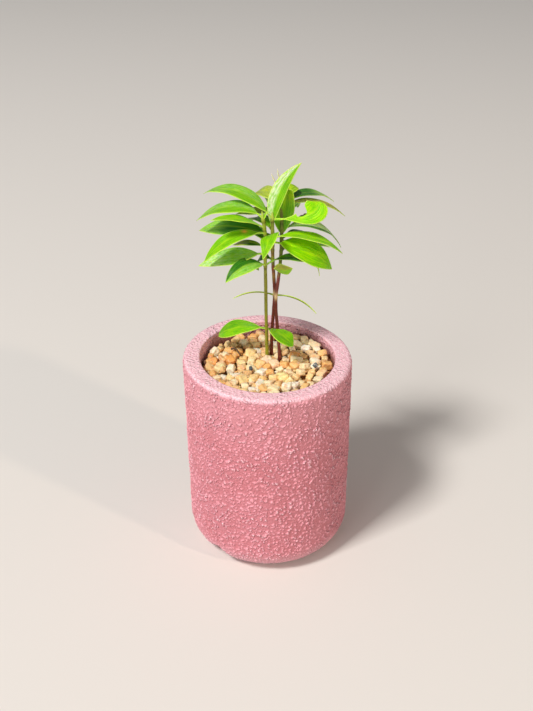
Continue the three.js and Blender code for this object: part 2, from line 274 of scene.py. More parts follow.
LEAVES = {
    "a": [
        leaf(147, -8, 46, 20.5, 7.5, 75, outline="stalked", left=SHADED, right=DEEP_AND_SHADED),
        leaf(147, 230, 42, 24.5, 9.5, 100, roll=-20, left=SOFT_SHEEN, right=DEEP_AND_SHADED),
        leaf(153, 188, 4, 31, 10, 32, roll=-25, both=SOFT_SHEEN, tip=HALF_SHEEN),
        leaf(158, 110, 25, 24, 8, 70, both=SHADED),
        leaf(163, 203, 18, 33, 8.5, 84, roll=-15, spot=0.28),
        leaf(165.5, 200, 38, 26, 8.5, 42, both=FRESH),
        leaf(169.5, 175, 62, 36, 12, 108, roll=-15, late=0.5, right=SOFT_SHEEN),
        leaf(169.5, -40, 65, 4.5, 2, 10, roll=60),
    ],
    "b": [
        leaf(112.5, 180, 16, 30, 9.5, 72, roll=-30, outline="round", right=SHADED),
        leaf(112.5, -92, 40, 19, 11.5, 80, roll=1, curve=84, outline="round"),
        leaf(131, 174, 20, 20, 2.5, 50, roll=40, both=OLIVE),
        leaf(131, 5, 0, 22, 2.5, 55, roll=-40, both=OLIVE),
        leaf(145, -52, 5, 11, 7.5, -40, roll=-60, left=FRESH, right=YELLOWED),
        leaf(149, 172, 45, 17, 7, 150, roll=-30, late=0.6, both=DEEP_AND_SHADED),
        leaf(154, 154, 18, 21, 7, 45, outline="stalked", left=DEEP_AND_SHADED, right=OLIVE, tip=YELLOWED),
        leaf(156, 95, 15, 28, 9, 70, both=DEEP_AND_SHADED),
        leaf(161, 268, 45, 19, 9, 112, roll=20, curve=-78, outline="kite"),
        leaf(158, -12, -2, 34, 13, 70, roll=34, both=FRESH),
        leaf(160, -1, 17, 34, 9.5, 62, both=FRESH),
        leaf(161, 161, 14, 41, 12, 50, roll=-26, both=DEEP_AND_SHADED, tip=SOFT_SHEEN),
        leaf(162.5, 150, 82, 36.5, 7, 0, roll=-70, curve=-57, left=PAINTED_SHEEN),
        leaf(163, 118, 30, 26, 8, 85, both=SHADED),
        leaf(169, 157, 52, 40, 10.5, 89, roll=-10, right=COOL_SHEEN, tip=COOL_SHEEN),
        leaf(169, -4, 2, 24, 11.5, 0, roll=62, curve=80, late=3, outline="blunt", both=FRESH),
    ],
    "c": [
        leaf(152, 60, 10, 24, 8, 60, both=DEEP_AND_SHADED),
        leaf(155, 0, 2, 26, 6, 88, both=SHADED, tip=YELLOWED),
        leaf(157, 15, -5, 24, 7, 20, both=SHADED, tip=SOFT_SHEEN),
        leaf(161.5, 12, 41, 37, 9, 106, roll=10, late=0.6, left=SHEEN, right=DEEP_AND_SHADED, split=-0.5),
        leaf(157, 80, 78, 30, 10.5, -85, curve=-50, late=3, both=SHADED, tip=YOUNG),
        leaf(158, 42, 12, 26, 8, 65, both=DEEP_AND_SHADED),
        leaf(166, 70, 35, 26, 8, 85, both=SHADED),
        leaf(169, 105, 40, 27, 8, 100, both=SHADED),
        leaf(170, 170, 2, 21, 9, 18, both=OLIVE),
        leaf(171, 5, 50, 32, 6, 95, late=0.6, both=TAN),
        leaf(172, 25, 60, 30, 9, 104, late=0.6, both=DEEP_AND_SHADED, tip=SOFT_SHEEN),
        leaf(173, 150, 50, 21, 9, 112, roll=-20, both=GOLDEN),
        leaf(175, 170, 75, 13, 1.4, 10, dry=1),
        leaf(175, 160, 86, 14.5, 1.4, 5, dry=1),
        leaf(173.5, -6, 72, 13, 6.5, 120, roll=52, late=1.5, outline="stalked", both=YOUNG),
    ],
}


def random_source(seed):
    """Repeatable random numbers from 0 to 1."""
    state = seed
    while True:
        state = (state * 1664525 + 1013904223) % 2**32
        yield state / 2**32


def smooth_step(value, low, high):
    """0 below low, 1 above high and a smooth rise between them."""
    share = np.clip((value - low) / (high - low), 0, 1)
    return share * share * (3 - 2 * share)


def hump(distance, width):
    """1 where distance is 0, falling away over about width on both sides."""
    return exp(-((distance / width) ** 2))


def add_piece(name, points, faces, material, node, slot, attributes=None, normals=None):
    """A smooth mesh that stands for a node of the part."""
    mesh = bpy.data.meshes.new(name)
    mesh.from_pydata(points, [], faces)
    mesh.polygons.foreach_set("use_smooth", [True] * len(mesh.polygons))
    for key, values in (attributes or {}).items():
        layer = mesh.attributes.new(key, "FLOAT_VECTOR", "POINT")
        layer.data.foreach_set("vector", np.asarray(values, np.float32).ravel())
    if normals is not None:
        mesh.normals_split_custom_set_from_vertices(normals)
    mesh.materials.append(material)
    mesh.update()
    piece = bpy.data.objects.new(name, mesh)
    bpy.context.scene.collection.objects.link(piece)
    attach(piece, "root")
    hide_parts(node)


def grid_faces(rows, columns):
    """Quads over rows of points, where each row closes on itself."""
    faces = []
    for i in range(rows - 1):
        low = i * columns
        high = low + columns
        for j in range(columns):
            k = (j + 1) % columns
            faces.append((low + j, low + k, high + k, high + j))
    return faces


def closed_faces(rows, columns):
    """The quads of a grid, and a face over its first and over its last row."""
    first = list(range(columns))
    last = [(rows - 1) * columns + j for j in first]
    return grid_faces(rows, columns) + [first[::-1], last]


def smooth_path(points, headings, steps):
    """Points on the curve through points, which leaves each one along its heading."""
    path = []
    for start, end, leave, arrive in zip(points, points[1:], headings, headings[1:]):
        reach = (end - start).length
        for i in range(steps):
            t = i / steps
            path.append(
                start * (2 * t**3 - 3 * t**2 + 1)
                + leave * reach * (t**3 - 2 * t**2 + t)
                + end * (3 * t**2 - 2 * t**3)
                + arrive * reach * (t**3 - t**2)
            )
    path.append(points[-1].copy())
    return path


class Surface:
    """A material and the nodes that feed its shader."""

    def __init__(self, name, roughness):
        self.material = bpy.data.materials.new(name)
        self.material.use_nodes = True
        self.tree = self.material.node_tree
        self.shader = self.tree.nodes["Principled BSDF"]
        self.set("Roughness", roughness)

    def set(self, socket, value):
        self.feed(self.shader.inputs[socket], value)

    def feed(self, socket, value):
        if isinstance(value, bpy.types.NodeSocket):
            self.tree.links.new(value, socket)
        else:
            socket.default_value = value

    def node(self, kind, sockets, **settings):
        """A new node's outputs, after its settings and sockets are filled in."""
        node = self.tree.nodes.new(f"ShaderNode{kind}")
        for key, value in settings.items():
            setattr(node, key, value)
        for key, value in sockets.items():
            self.feed(node.inputs[key], value)
        return node.outputs

    def place(self):
        """Where a point is, in metres."""
        return self.node("TexCoord", {})["Object"]

    def attribute(self, name):
        """The three numbers of one of the mesh's own attributes."""
        vector = self.node("Attribute", {}, attribute_name=name)["Vector"]
        return self.node("SeparateXYZ", {0: vector})

    def height(self):
        """How high a point is over the floor."""
        return self.node("SeparateXYZ", {0: self.place()})[2]

    def noise(self, size, vector=None, detail=3, roughness=0.5):
        """Soft noise whose lumps are about size across."""
        sockets = {"Scale": 1 / size, "Detail": detail, "Roughness": roughness}
        return self.node("TexNoise", {**sockets, "Vector": vector or self.place()})["Fac"]

    def streaks(self, along, across, counts, detail):
        """Soft noise on a blade, with about so many lumps along it and across it."""
        ends = {0: self.times(along, counts[0]), 1: self.times(across, counts[1])}
        return self.noise(1, self.node("CombineXYZ", ends)[0], detail)

    def cells(self, size):
        """The distance to the middle of cells that are about size across."""
        return self.node("TexVoronoi", {"Scale": 1 / size, "Vector": self.place()})["Distance"]

    def calc(self, operation, a, b=0):
        return self.node("Math", {0: a, 1: b}, operation=operation)[0]

    def times(self, a, b):
        return self.calc("MULTIPLY", a, b)

    def between(self, value, low, high, to_low=0, to_high=1):
        """value's place between low and high, as a number from to_low to to_high."""
        sockets = {"Value": value, "From Min": low, "From Max": high, "To Min": to_low, "To Max": to_high}
        return self.node("MapRange", sockets, interpolation_type="SMOOTHSTEP")["Result"]

    def mix(self, factor, a, b, blend="MIX"):
        """a turned into b by factor. Each is a socket or three numbers from 0 to 255."""
        a, b = (colour(*end) if isinstance(end, tuple) else end for end in (a, b))
        return self.node("Mix", {0: factor, 6: a, 7: b}, data_type="RGBA", blend_type=blend)[2]

    def bump(self, height, distance, strength=1.0):
        sockets = {"Height": height, "Distance": distance, "Strength": strength}
        self.set("Normal", self.node("Bump", sockets)["Normal"])


def colour(red, green, blue):
    """A screen colour from 0 to 255 as the light it stands for."""
    def light(value):
        share = value / 255
        return share / 12.92 if share <= 0.04045 else ((share + 0.055) / 1.055) ** 2.4
    return (light(red), light(green), light(blue), 1.0)


def wall_colour(skin, grain, sand):
    """Pink with painted shade in its pits, painted highlights that turn its grains nearly white, and
    paler near the rim.
    """
    patch = skin.between(skin.noise(14 * MM, detail=4), 0.35, 0.65)
    pink = skin.mix(patch, (240, 160, 173), (232, 150, 161))
    # Painted shade: the pink darkens towards the pits of the coat's relief.
    pits = skin.mix(skin.between(grain, 0.35, 0.08, 0, 0.62), pink, (176, 88, 95))
    # Painted highlights: the grain tops turn nearly white where the sand is high.
    painted_highlights = skin.times(skin.between(grain, 0.5, 0.9), skin.between(sand, 0.35, 0.6))
    grains = skin.mix(skin.times(painted_highlights, 0.68), pits, (255, 232, 236))
    high = skin.between(skin.height(), *PALE_BAND, 0, 0.18)
    return skin.mix(high, grains, (248, 196, 207))


def rim_colour(skin):
    """Speckled pale pink with small darker dots."""
    speckle = skin.between(skin.noise(0.55 * MM, detail=1), 0.4, 0.66)
    rim = skin.mix(speckle, (238, 182, 194), (254, 220, 227))
    dots = skin.between(skin.cells(1.4 * MM), 0.17, 0.1)
    return skin.mix(skin.times(dots, 0.5), rim, (208, 142, 152))


def pink_grit():
    """Sandy pink concrete, grainy on the wall, smoother on the rim, with painted shade in the bore."""
    skin = Surface("pink_grit", 0.7)
    skin.set("Specular IOR Level", 0.6)
    relief, coat, bore_shade = skin.attribute("coat")
    sand = skin.noise(0.5 * MM, detail=2)
    small = skin.between(skin.cells(0.95 * MM), 0.5, 0.1, 0, 0.28)
    grain = skin.calc("MAXIMUM", small, relief)
    pot = skin.mix(coat, rim_colour(skin), wall_colour(skin, grain, sand))
    # Painted shade: the bore darkens towards the gravel and on one side.
    skin.set("Base Color", skin.mix(bore_shade, pot, (150, 92, 70)))
    skin.set("Roughness", skin.between(grain, 0.35, 0.75, 0.65, 0.22))
    height = skin.calc("ADD", grain, skin.times(sand, 0.2))
    skin.bump(skin.times(height, skin.between(coat, 0, 0.6, 0.4, 1)), 1.2 * MM)
    return skin.material


def yellow_gravel():
    """Crushed stone, each with its own colour, stained along its cracks."""
    skin = Surface("yellow_gravel", 0.6)
    own = skin.node("Attribute", {}, attribute_name="stone")["Color"]
    stain = skin.noise(2.6 * MM, detail=4, roughness=0.6)
    stained = skin.between(stain, 0.48, 0.7, 0, 0.6)
    stained = skin.mix(stained, own, (226, 158, 84), "MULTIPLY")
    pale = skin.between(skin.noise(1.3 * MM, detail=3), 0.52, 0.72, 0, 0.4)
    stone = skin.mix(pale, stained, (246, 236, 212))
    crack = skin.between(skin.noise(0.7 * MM, detail=4, roughness=0.7), 0.36, 0.26, 0, 0.5)
    skin.set("Base Color", skin.mix(crack, stone, (166, 108, 54)))
    skin.set("Roughness", skin.between(stain, 0.3, 0.7, 0.45, 0.75))
    skin.set("Subsurface Weight", 0.1)
    skin.set("Subsurface Scale", 1 * MM)
    grit = skin.calc("ADD", skin.noise(0.9 * MM, detail=5), skin.cells(1.8 * MM))
    skin.bump(grit, 0.2 * MM, 0.9)
    return skin.material


def potting_mix():
    """Dark, crumbly soil with paler fibres."""
    skin = Surface("potting_mix", 0.95)
    crumb = skin.noise(2.5 * MM, detail=6, roughness=0.7)
    soil = skin.mix(skin.between(crumb, 0.35, 0.65), (46, 33, 24), (92, 68, 48))
    skin.set("Base Color", soil)
    skin.bump(crumb, 1 * MM)
    return skin.material


def dust_and_gap_shade():
    """The bed of dust and small grit under the stones, its darker browns partly painted shade for the
    gaps.
    """
    skin = Surface("dust_and_gap_shade", 0.95)
    grit = skin.cells(0.9 * MM)
    dust = skin.mix(skin.between(grit, 0.2, 0.7), (206, 150, 92), (128, 88, 52))
    skin.set("Base Color", dust)
    skin.bump(skin.noise(0.8 * MM, detail=4), 0.3 * MM)
    return skin.material


def twig_bark():
    """Dark, streaked bark."""
    skin = Surface("twig_bark", 0.8)
    streak = skin.noise(0.6 * MM, detail=4)
    skin.set("Base Color", skin.mix(streak, (50, 34, 22), (110, 84, 60)))
    skin.bump(streak, 0.1 * MM)
    return skin.material


def stem_bark(name, low, high, turn):
    """Young bark that runs from one colour low on the stem to another above turn."""
    skin = Surface(name, 0.5)
    knot, bud, joint = skin.attribute("stem")
    patch = skin.noise(5 * MM, detail=4)
    streak = skin.noise(1 * MM, detail=5, roughness=0.65)
    wander = skin.calc("ADD", skin.height(), skin.between(patch, 0.2, 0.8, -8 * MM, 8 * MM))
    bark = skin.mix(skin.between(wander, turn - 7 * MM, turn + 7 * MM), low, high)
    bark = skin.mix(skin.between(streak, 0.5, 0.75, 0, 0.55), bark, (70, 42, 20))
    bark = skin.mix(skin.between(streak, 0.42, 0.3, 0, 0.35), bark, (190, 150, 80))
    bark = skin.mix(skin.times(joint, 0.55), bark, (74, 62, 20))
    bark = skin.mix(knot, bark, (214, 184, 130))
    skin.set("Base Color", skin.mix(bud, bark, (176, 196, 70)))
    skin.set("Roughness", skin.between(streak, 0.3, 0.7, 0.38, 0.62))
    skin.bump(streak, 0.12 * MM)
    return skin.material


def blade_colour(skin, fine, broad, darkening, aged):
    """Fresh and yellowed colours, and a dark green that is partly the leaf's own and partly painted
    shade, each streaked and patchy, by the blade's tone.
    """
    streak = skin.between(fine, 0.35, 0.65)
    fresh = skin.mix(streak, (124, 205, 0), (172, 225, 0))
    fresh = skin.mix(skin.between(broad, 0.4, 0.7, 0, 0.55), fresh, (84, 172, 12))
    dark = skin.mix(streak, (6, 80, 28), (30, 112, 26))
    old = skin.mix(skin.between(broad, 0.35, 0.65), (190, 160, 50), (158, 130, 62))
    return skin.mix(aged, skin.mix(darkening, fresh, dark), old)


def leaf_green():
    """A glossy blade with fine lengthwise veins, a pale margin, and painted sheen and painted shade from
    its tone.
    """
    skin = Surface("leaf_green", 0.4)
    along, across, inset = skin.attribute("blade")
    darkening, sheen_amount, aged = skin.attribute("tone")
    upper, spot, dry = skin.attribute("side")
    scar = skin.attribute("scar")[0]
    fine = skin.streaks(along, across, (5, 13), 3)
    broad = skin.streaks(along, across, (4, 3), 2)
    cells = skin.streaks(along, across, (16, 5), 4)
    vein = skin.calc("SINE", skin.calc("ADD", skin.times(across, 30), skin.times(fine, 9)))
    green = blade_colour(skin, fine, broad, darkening, aged)
    # Painted sheen: a whitish reflection, patchy over the blade, by the tone's second number.
    sheen_mask = skin.times(sheen_amount, skin.between(cells, 0.36, 0.62, 0.25, 0.95))
    green = skin.mix(sheen_mask, green, (230, 244, 208))
    line = skin.times(skin.between(vein, 0.55, 1, 0, 0.2), skin.between(darkening, 0, 0.9, 1, 0.35))
    green = skin.mix(line, green, (206, 234, 60))
    rib = skin.between(skin.calc("ABSOLUTE", across), 0.1, 0, 0, 0.3)
    green = skin.mix(rib, green, (196, 224, 50))
    edge = skin.between(inset, 0.55, 0.2, 0, 0.75)
    edge = skin.times(edge, skin.between(darkening, 0.2, 0.9, 1, 0.45))
    green = skin.mix(edge, green, (206, 236, 96))
    green = skin.mix(skin.times(spot, 0.9), green, (242, 150, 70))
    green = skin.mix(dry, green, (236, 222, 190))
    green = skin.mix(skin.between(scar, 0.2, 0.5), green, (62, 46, 18))
    under = skin.mix(0.3, green, (150, 190, 96))
    skin.set("Base Color", skin.mix(upper, under, green))
    skin.set("Roughness", skin.between(sheen_mask, 0, 1, 0.3, 0.55))
    skin.set("Specular IOR Level", 0.14)
    skin.set("Subsurface Weight", 0.45)
    skin.set("Subsurface Scale", 1 * MM)
    skin.set("Subsurface Radius", (0.6, 1.0, 0.1))
    skin.bump(skin.calc("ADD", skin.times(vein, 0.5), fine), 0.05 * MM, 0.7)
    return skin.material


def arc(across, height, radius, start, end, steps):
    """Points along an arc, from one angle to another in degrees."""
    turns = np.radians(np.linspace(start, end, steps + 1))
    return list(zip(across + radius * np.cos(turns), height + radius * np.sin(turns)))


def pot_profile():
    """The pot's outline from the drain hole, round the outside and back down the bore."""
    wall_top = POT_HEIGHT - RIM_ROUNDING
    lip = POT_HEIGHT - RIM_INNER_ROUNDING
    inside = POT_FLOOR + INNER_FOOT_ROUNDING
    rim_outer = POT_RADIUS - RIM_ROUNDING
    rim_inner = POT_BORE + RIM_INNER_ROUNDING
    wall_rows = round((wall_top - FOOT_ROUNDING) / WALL_ROW)
    foot_rows = round(FOOT_ROUNDING * pi / 2 / WALL_ROW)
    outline = [(DRAIN_RADIUS, POT_FLOOR), (DRAIN_RADIUS, POT_FLOOR / 2)]
    outline += [(r, 0) for r in np.linspace(DRAIN_RADIUS, FOOT_EDGE, UNDERSIDE_ROWS)[:-1]]
    outline += arc(FOOT_EDGE, FOOT_ROUNDING, FOOT_ROUNDING, -90, 0, foot_rows)
    outline += [(POT_RADIUS, z) for z in np.linspace(FOOT_ROUNDING, wall_top, wall_rows + 1)[1:-1]]
    outline += arc(rim_outer, wall_top, RIM_ROUNDING, 0, 90, RIM_EDGE_ROWS)
    outline += [(r, POT_HEIGHT) for r in np.linspace(rim_outer, rim_inner, RIM_TOP_ROWS)[1:-1]]
    outline += arc(rim_inner, lip, RIM_INNER_ROUNDING, 90, 180, LIP_ROWS)
    outline += [(POT_BORE, z) for z in np.linspace(lip, BED_BOTTOM, BORE_ROWS)[1:]]
    outline += [(POT_BORE, z) for z in np.linspace(BED_BOTTOM, inside, INSIDE_ROWS)[1:-1]]
    outline += arc(POT_BORE - INNER_FOOT_ROUNDING, inside, INNER_FOOT_ROUNDING, 0, -90, INNER_FOOT_ROWS)
    outline.append((DRAIN_RADIUS, POT_FLOOR))
    return np.array(outline)


def grain_relief(point):
    """How far the sandy coat stands out at a point, from 0 in its pits to 1."""
    wander = noise.noise_vector(point / GRAIN_WANDER)
    distances, centres = noise.voronoi(point / GRAIN_SIZE + wander * 0.5)
    size = 0.46 + 0.22 * noise.noise(centres[0] * 2.7)
    dome = max(1 - (distances[0] / size) ** 2, 0) ** 0.7
    gather = min(max(0.75 + 0.8 * noise.noise(point / GRAIN_GATHER), 0.35), 1)
    lumps = 0.5 + 0.5 * noise.noise(point / GRAIN_LUMP)
    return min(max(dome * gather * 0.85 + 0.2 * lumps, 0), 1)


def outward(profile):
    """The profile's outward directions, as (across, up)."""
    along = np.gradient(profile, axis=0)
    along[0] = profile[1] - profile[0]
    along[-1] = profile[-1] - profile[-2]
    along /= np.linalg.norm(along, axis=1)[:, None]
    return np.stack([along[:, 1], -along[:, 0]], axis=1)


def coat_weight(profile):
    """How much of the sandy coat each row of the profile carries."""
    radius, height = profile[:, 0], profile[:, 1]
    outside = smooth_step(radius, FOOT_EDGE, POT_RADIUS - FOOT_ROUNDING * 0.4)
    low = COAT_LEAST + (1 - COAT_LEAST) * smooth_step(height, COAT_LOW_BELOW, COAT_FULL_ABOVE)
    top = 1 - smooth_step(height, POT_HEIGHT - COAT_FADES_FROM, POT_HEIGHT - COAT_FADES_TO)
    bore = (radius < POT_BORE + 0.1 * MM) & (height > BED_BOTTOM)
    rim = np.where((height > POT_HEIGHT - RIM_ROUNDING) & (radius > POT_BORE), RIM_COAT, 0)
    return np.where(bore, BORE_COAT, np.maximum(outside * low * top, rim))


def coat_relief(profile, weight, turns):
    """The coat's relief round each row of the profile that carries any."""
    noise.seed_set(GRAIN_SEED)
    relief = np.zeros((len(profile), len(turns)))
    for i, (radius, height) in enumerate(profile):
        if weight[i] > 0:
            for j, turn in enumerate(turns):
                point = Vector((radius * cos(turn), radius * sin(turn), height))
                relief[i, j] = grain_relief(point)
    return relief


def foot_dent(profile, turns):
    """How far the foot is pressed in at each point."""
    away = np.abs((turns - DENT_COMPASS + pi) % (2 * pi) - pi)
    around = np.exp(-((away / DENT_HALF_WIDTH) ** 2))
    low = 1 - smooth_step(profile[:, 1], DENT_TOP * 0.3, DENT_TOP)
    low *= profile[:, 0] > FOOT_EDGE
    return DENT_DEPTH * low[:, None] * around[None, :]


def painted_bore_shade(profile, turns):
    """How much painted shade each point of the bore gets: more near the gravel, and more on one side."""
    bore = np.where(profile[:, 0] < POT_BORE + 0.4 * MM, 1, 0)
    bore_shade = bore * (1 - smooth_step(profile[:, 1], BED_TOP - BORE_SHADE_MARGIN, POT_HEIGHT - BORE_SHADE_MARGIN))
    return bore_shade[:, None] * (BORE_SHADE_EVENLY + BORE_SHADE_MORE * np.cos(turns - BORE_SHADE_COMPASS))


def grid_normals(points):
    """The outward directions of a grid of points whose rows close on themselves."""
    down = np.gradient(points, axis=0)
    around = np.roll(points, -1, axis=1) - np.roll(points, 1, axis=1)
    normals = np.cross(around, down)
    return normals / np.maximum(np.linalg.norm(normals, axis=2), 1e-12)[:, :, None]


def pot_grid():
    """The pot's profile, its points row by row, how grainy and coated each is, and its painted shade."""
    profile = pot_profile()
    out = outward(profile)
    weight = coat_weight(profile)
    turns = np.linspace(0, 2 * pi, POT_SIDES, endpoint=False)
    relief = coat_relief(profile, weight, turns)
    push = weight[:, None] * (relief * COAT_DEPTH - COAT_SINK)
    push -= foot_dent(profile, turns)
    radius = profile[:, 0, None] + out[:, 0, None] * push
    height = np.maximum(profile[:, 1, None] + out[:, 1, None] * push, 0)
    x = radius * np.cos(turns)
    y = radius * np.sin(turns)
    z = height + x * RIM_SLOPE * height / POT_HEIGHT
    weights = np.broadcast_to(weight[:, None], relief.shape)
    look = np.stack([relief, weights, painted_bore_shade(profile, turns)], axis=2)
    return profile, np.stack([x, y, z], axis=2), look


def build_pot(material):
    """The pot in four bands: its foot, its lower and upper wall, and its rim and bore."""
    profile, points, look = pot_grid()
    normals = grid_normals(points)
    outside = np.isclose(profile[:, 0], POT_RADIUS, atol=RIM_ROUNDING)
    foot, middle = (int(np.argmax(outside & (profile[:, 1] > top))) for top in BAND_TOPS)
    rim = int(np.argmax(profile[:, 1] > POT_HEIGHT - RIM_ROUNDING - A_HAIR))
    bands = {
        "pot_foot": (0, foot + 1),
        "pot_lower_wall": (foot, middle + 1),
        "pot_upper_wall": (middle, rim + 1),
        "pot_rim": (rim, len(profile)),
    }
    for name, (start, end) in bands.items():
        rows = slice(start, end)
        faces = grid_faces(end - start, POT_SIDES)
        add_piece(
            name, points[rows].reshape(-1, 3), faces, material, "pot", "pink_grit",
            {"coat": look[rows].reshape(-1, 3)}, normals[rows].reshape(-1, 3),
        )


def cube_sphere(size):
    """Unit directions over a cube of size by size faces a side, and its quads."""
    index = {}
    directions = []
    faces = []

    def corner(cell):
        if cell not in index:
            index[cell] = len(directions)
            spread = [tan((c / size - 0.5) * pi / 2) for c in cell]
            directions.append(np.array(spread))
        return index[cell]

    for axis in range(3):
        for side in (0, size):
            for i in range(size):
                for j in range(size):
                    square = [(i, j), (i + 1, j), (i + 1, j + 1), (i, j + 1)]
                    if side == 0:
                        square.reverse()
                    cells = [[(side, a, b), (b, side, a), (a, b, side)][axis] for a, b in square]
                    faces.append([corner(cell) for cell in cells])
    directions = np.array(directions)
    return directions / np.linalg.norm(directions, axis=1)[:, None], faces


# A block's corners and triangles, in the order that the solids use
BLOCK_CORNERS = np.array([
    (1, 1, 1), (1, 1, -1), (1, -1, 1), (1, -1, -1), (-1, 1, -1), (-1, 1, 1), (-1, -1, -1), (-1, -1, 1),
])
BLOCK_SIDES = [(0, 1, 3, 2), (4, 5, 7, 6), (0, 1, 4, 5), (2, 3, 6, 7), (0, 2, 5, 7), (1, 3, 4, 6)]


def block_planes(corners):
    """The outward planes of a block with loose corners, from its middle."""
    planes = []
    middle = corners.mean(axis=0)
    for side in BLOCK_SIDES:
        for skipped in range(4):
            a, b, c = (corners[k] for n, k in enumerate(side) if n != skipped)
            normal = np.cross(b - a, c - a)
            normal /= np.linalg.norm(normal)
            distance = normal @ (a - middle)
            planes.append(normal * np.sign(distance) / abs(distance))
    return middle, np.array(planes)


def pebble(corners, directions, random):
    """A crushed stone inside a block: its flat sides, a few chipped ones and rough skin."""
    middle, planes = block_planes(corners)
    chips = []
    for _ in range(CHIPPED_SIDES):
        normal = np.array([next(random) - 0.5 for _ in range(3)])
        normal /= np.linalg.norm(normal)
        distance = (0.6 + 0.3 * next(random)) * max((corners - middle) @ normal)
        chips.append(normal / distance)
    planes = np.vstack([planes, chips])
    reach = np.maximum(directions @ planes.T, 1e-9)
    size = 1.3 + 0.25 * next(random)
    radius = (reach**EDGE_SHARPNESS).sum(axis=1) ** (-1 / EDGE_SHARPNESS) * size
    seed = Vector((next(random), next(random), next(random))) * 50
    for i, direction in enumerate(directions):
        broad = noise.noise(Vector(direction) * 2.1 + seed)
        fine = noise.noise(Vector(direction) * 5.5 + seed)
        radius[i] *= 1 + SKIN_ROUGHNESS * (broad + 0.45 * fine)
    return middle + directions * radius[:, None]


def turned(points, about_x, about_y, about_z):
    """Points turned about X, then Y, then Z."""
    turn = Matrix.Rotation(about_z, 3, "Z") @ Matrix.Rotation(about_y, 3, "Y")
    turn = turn @ Matrix.Rotation(about_x, 3, "X")
    return points @ np.array(turn).T


def loose_block(random, radius):
    """A block's corners, each drawn in by its own amount, then stretched and turned."""
    corners = BLOCK_CORNERS / sqrt(3)
    corners = np.array([corner * radius * (0.75 + next(random) * 0.4) for corner in corners])
    stretch = [1.1 + next(random) * 0.3, 0.85 + next(random) * 0.3, 0.75 + next(random) * 0.25]
    corners *= np.array(stretch)
    return turned(corners, (next(random) - 0.5) * 0.9, (next(random) - 0.5) * 0.9, next(random) * 6)


def stone_blocks():
    """The stones' blocks, ring by ring, a little higher than the solids have them."""
    random = random_source(STONE_SEED)
    for ring in STONE_RINGS:
        count = int(2 * pi * ring / STONE_SPACING + 0.5)
        for i in range(count):
            angle = ((i + next(random) * 0.5) / count) * 2 * pi + ring
            reach = ring + (next(random) - 0.5) * 1.6
            radius = STONE_MIN + (STONE_MAX - STONE_MIN) * next(random)
            corners = loose_block(random, radius)
            lift = BED_TOP / MM + radius * (next(random) * 0.4 - 0.1)
            middle = (reach * cos(angle), reach * sin(angle), lift)
            yield (corners + middle) * MM + (0, 0, STONE_LIFT)


def chip_blocks():
    """Smaller chips that fill the gaps between the stones."""
    random = random_source(CHIP_SEED)
    reach = int(FILL_RADIUS / CHIP_SPACING) + 1
    for i in range(-reach, reach + 1):
        for j in range(-reach, reach + 1):
            x = (i + 0.5 * (j % 2) + (next(random) - 0.5) * 0.7) * CHIP_SPACING
            y = (j * 0.87 + (next(random) - 0.5) * 0.7) * CHIP_SPACING
            radius = CHIP_MIN + (CHIP_MAX - CHIP_MIN) * next(random)
            corners = loose_block(random, radius)
            lift = BED_TOP + CHIP_LIFT + (next(random) * 1.3 - 0.5) * MM
            if hypot(x, y) < STONE_EDGE - radius * 0.6:
                yield corners + (x, y, lift)


def keep_in_place(points):
    """Points moved in from the bore, out of each stem's way and up to the bed."""
    radius = np.hypot(points[:, 0], points[:, 1])
    inward = np.minimum(1, STONE_EDGE / radius)
    points[:, :2] *= inward[:, None]
    for stem in STEMS.values():
        foot = np.array(Vector(stem[1][:2]) * MM)
        offset = points[:, :2] - foot
        distance = np.maximum(np.linalg.norm(offset, axis=1), 1e-9)
        away = np.maximum(1, STEM_GAP / distance)
        points[:, :2] = foot + offset * away[:, None]
    points[:, 2] = np.maximum(points[:, 2], BED_BOTTOM)
    return points


def build_gravel(stone_material, bed_material):
    """Crushed stones over smaller chips, on a bed of dust darkened with painted shade."""
    random = random_source(SKIN_SEED)
    points, faces, tints = [], [], []

    def add(block, directions, quads, tint):
        stone = keep_in_place(pebble(block, directions, random))
        start = sum(len(p) for p in points)
        points.append(stone)
        faces.extend([[start + k for k in quad] for quad in quads])
        tints.append(np.tile(colour(*tint)[:3], (len(stone), 1)))

    def any_tint():
        return STONE_COLOURS[int(next(random) * len(STONE_COLOURS))]

    fine = cube_sphere(STONE_GRID)
    coarse = cube_sphere(CHIP_GRID)
    for block in stone_blocks():
        add(block, *fine, any_tint())
    for block in chip_blocks():
        add(block, *coarse, any_tint())
    for x, y, radius, tint in BIG_STONES:
        block = loose_block(random, radius) + (x, y, BED_TOP / MM + BIG_STONE_LIFT)
        add(block * MM, *fine, tint)
    for x, y in DARK_CHIPS:
        block = loose_block(random, DARK_CHIP_RADIUS) + (x, y, BED_TOP / MM + DARK_CHIP_LIFT)
        add(block * MM, *coarse, DARK_STONE)
    add_piece(
        "gravel_stones", np.vstack(points), faces, stone_material, "gravel", "yellow_gravel",
        {"stone": np.vstack(tints)},
    )
    build_bed(bed_material)


def build_bed(material):
    """The bed of dust and painted shade between and under the stones, which the stems pass through."""
    points = []
    for i in range(BED_ROWS + 1):
        radius = FILL_RADIUS * i / BED_ROWS
        for j in range(BED_SIDES):
            turn = 2 * pi * j / BED_SIDES
            x, y = radius * cos(turn), radius * sin(turn)
            lump = BED_LUMP_HEIGHT * noise.noise(Vector((x, y, 0)) / BED_LUMP)
            points.append((x, y, BED_TOP - BED_SINK + lump))
    low = len(points)
    points += [(x, y, BED_BOTTOM) for x, y, _ in points[-BED_SIDES:]]
    faces = grid_faces(BED_ROWS + 2, BED_SIDES)
    faces.append([low + j for j in range(BED_SIDES)])
    add_piece("gravel_bed", points, faces, material, "gravel", "yellow_gravel")


